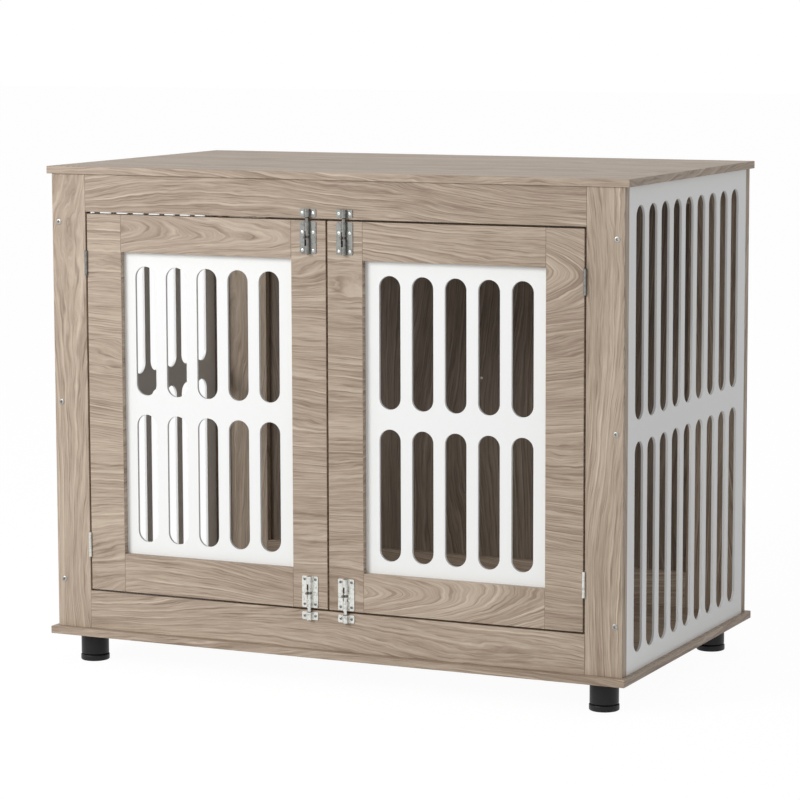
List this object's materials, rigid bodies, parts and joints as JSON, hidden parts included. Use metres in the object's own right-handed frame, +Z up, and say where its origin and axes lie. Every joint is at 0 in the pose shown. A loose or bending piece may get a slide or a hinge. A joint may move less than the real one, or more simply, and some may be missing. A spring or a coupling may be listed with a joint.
{
  "type": "dog crate end table",
  "caption": "Wooden dog crate end table: cabinet on short feet, slotted white side panels and double doors with butt hinges and barrel bolts.",
  "frame": {"origin": "on the floor, under the middle of the bounding box", "axes": "+Z up, +Y from the doors towards the back panel, +X towards the right door as seen from the front"},
  "size_m": [1, 0.59, 0.81],
  "materials": {
    "woodgrain_board": "satin, printed grey-brown woodgrain",
    "white_panel": "satin white laminate",
    "back_panel": "matte, printed grey-brown woodgrain",
    "dowel_wood": "raw",
    "zinc_steel": "zinc plated, satin",
    "screw_steel": "zinc plated, bright",
    "black_plastic": "satin black"
  },
  "bodies": {
    "cabinet": {"bottom_board": "woodgrain_board", "top_board": "woodgrain_board", "front_stile_left": "woodgrain_board", "front_stile_right": "woodgrain_board", "front_top_rail": "woodgrain_board", "front_bottom_rail": "woodgrain_board", "back_stile_left": "woodgrain_board", "back_stile_right": "woodgrain_board", "back_top_rail": "woodgrain_board", "back_bottom_rail": "woodgrain_board", "back_brace": "woodgrain_board", "front_post_left": "woodgrain_board", "front_post_right": "woodgrain_board", "back_post_left": "woodgrain_board", "back_post_right": "woodgrain_board", "back_panel": "back_panel", "side_panel_left": "white_panel", "side_panel_right": "white_panel", "cabinet_dowels": "dowel_wood", "frame_screws": "screw_steel", "brace_screws": "screw_steel", "foot_screws": "screw_steel", "frame_hardware_screws": "screw_steel", "hinge_pins": "screw_steel", "hinge_frame_leaves": "zinc_steel", "bolt_keepers": "zinc_steel", "foot_sleeves": "black_plastic"},
    "left_door": {"left_door_hinge_stile": "woodgrain_board", "left_door_latch_stile": "woodgrain_board", "left_door_top_rail": "woodgrain_board", "left_door_bottom_rail": "woodgrain_board", "left_door_panel": "white_panel", "left_door_dowels": "dowel_wood", "left_door_screws": "screw_steel", "left_bolt_plates": "zinc_steel", "left_hinge_leaves": "zinc_steel"},
    "left_top_bolt": {"left_top_bolt": "zinc_steel"},
    "left_top_knob": {"left_top_knob": "zinc_steel"},
    "left_bottom_bolt": {"left_bottom_bolt": "zinc_steel"},
    "left_bottom_knob": {"left_bottom_knob": "zinc_steel"},
    "right_door": {"right_door_hinge_stile": "woodgrain_board", "right_door_latch_stile": "woodgrain_board", "right_door_top_rail": "woodgrain_board", "right_door_bottom_rail": "woodgrain_board", "right_door_panel": "white_panel", "right_door_dowels": "dowel_wood", "right_door_screws": "screw_steel", "right_bolt_plates": "zinc_steel", "right_hinge_leaves": "zinc_steel"},
    "right_top_bolt": {"right_top_bolt": "zinc_steel"},
    "right_top_knob": {"right_top_knob": "zinc_steel"},
    "right_bottom_bolt": {"right_bottom_bolt": "zinc_steel"},
    "right_bottom_knob": {"right_bottom_knob": "zinc_steel"},
    "front_left_adjuster": {"front_left_foot_adjuster": "black_plastic"},
    "front_right_adjuster": {"front_right_foot_adjuster": "black_plastic"},
    "back_left_adjuster": {"back_left_foot_adjuster": "black_plastic"},
    "back_right_adjuster": {"back_right_foot_adjuster": "black_plastic"}
  },
  "joints": [
    {"name": "left_door_hinge", "type": "hinge", "parent": "cabinet", "child": "left_door", "pos_m": [-0.4295, -0.2845, 0.43], "axis": [0, 0, -1], "range_deg": [0, 170]},
    {"name": "left_top_bolt_slide", "type": "slide", "parent": "left_door", "child": "left_top_bolt", "axis": [0, 0, 1], "range_m": [-0.012, 0.007]},
    {"name": "left_top_knob_turn", "type": "hinge", "parent": "left_top_bolt", "child": "left_top_knob", "pos_m": [-0.0315, -0.2866, 0.7098], "axis": [0, 0, 1], "range_deg": [0, 90]},
    {"name": "left_bottom_bolt_slide", "type": "slide", "parent": "left_door", "child": "left_bottom_bolt", "axis": [0, 0, -1], "range_m": [-0.012, 0.007]},
    {"name": "left_bottom_knob_turn", "type": "hinge", "parent": "left_bottom_bolt", "child": "left_bottom_knob", "pos_m": [-0.0315, -0.2866, 0.1502], "axis": [0, 0, 1], "range_deg": [0, 90]},
    {"name": "right_door_hinge", "type": "hinge", "parent": "cabinet", "child": "right_door", "pos_m": [0.4295, -0.2845, 0.43], "axis": [0, 0, 1], "range_deg": [0, 170]},
    {"name": "right_top_bolt_slide", "type": "slide", "parent": "right_door", "child": "right_top_bolt", "axis": [0, 0, 1], "range_m": [-0.012, 0.007]},
    {"name": "right_top_knob_turn", "type": "hinge", "parent": "right_top_bolt", "child": "right_top_knob", "pos_m": [0.0315, -0.2866, 0.7098], "axis": [0, 0, 1], "range_deg": [0, 90]},
    {"name": "right_bottom_bolt_slide", "type": "slide", "parent": "right_door", "child": "right_bottom_bolt", "axis": [0, 0, -1], "range_m": [-0.012, 0.007]},
    {"name": "right_bottom_knob_turn", "type": "hinge", "parent": "right_bottom_bolt", "child": "right_bottom_knob", "pos_m": [0.0315, -0.2866, 0.1502], "axis": [0, 0, 1], "range_deg": [0, 90]},
    {"name": "front_left_adjuster_screw", "type": "slide", "parent": "cabinet", "child": "front_left_adjuster", "axis": [0, 0, -1], "range_m": [0, 0.01]},
    {"name": "front_right_adjuster_screw", "type": "slide", "parent": "cabinet", "child": "front_right_adjuster", "axis": [0, 0, -1], "range_m": [0, 0.01]},
    {"name": "back_left_adjuster_screw", "type": "slide", "parent": "cabinet", "child": "back_left_adjuster", "axis": [0, 0, -1], "range_m": [0, 0.01]},
    {"name": "back_right_adjuster_screw", "type": "slide", "parent": "cabinet", "child": "back_right_adjuster", "axis": [0, 0, -1], "range_m": [0, 0.01]}
  ]
}
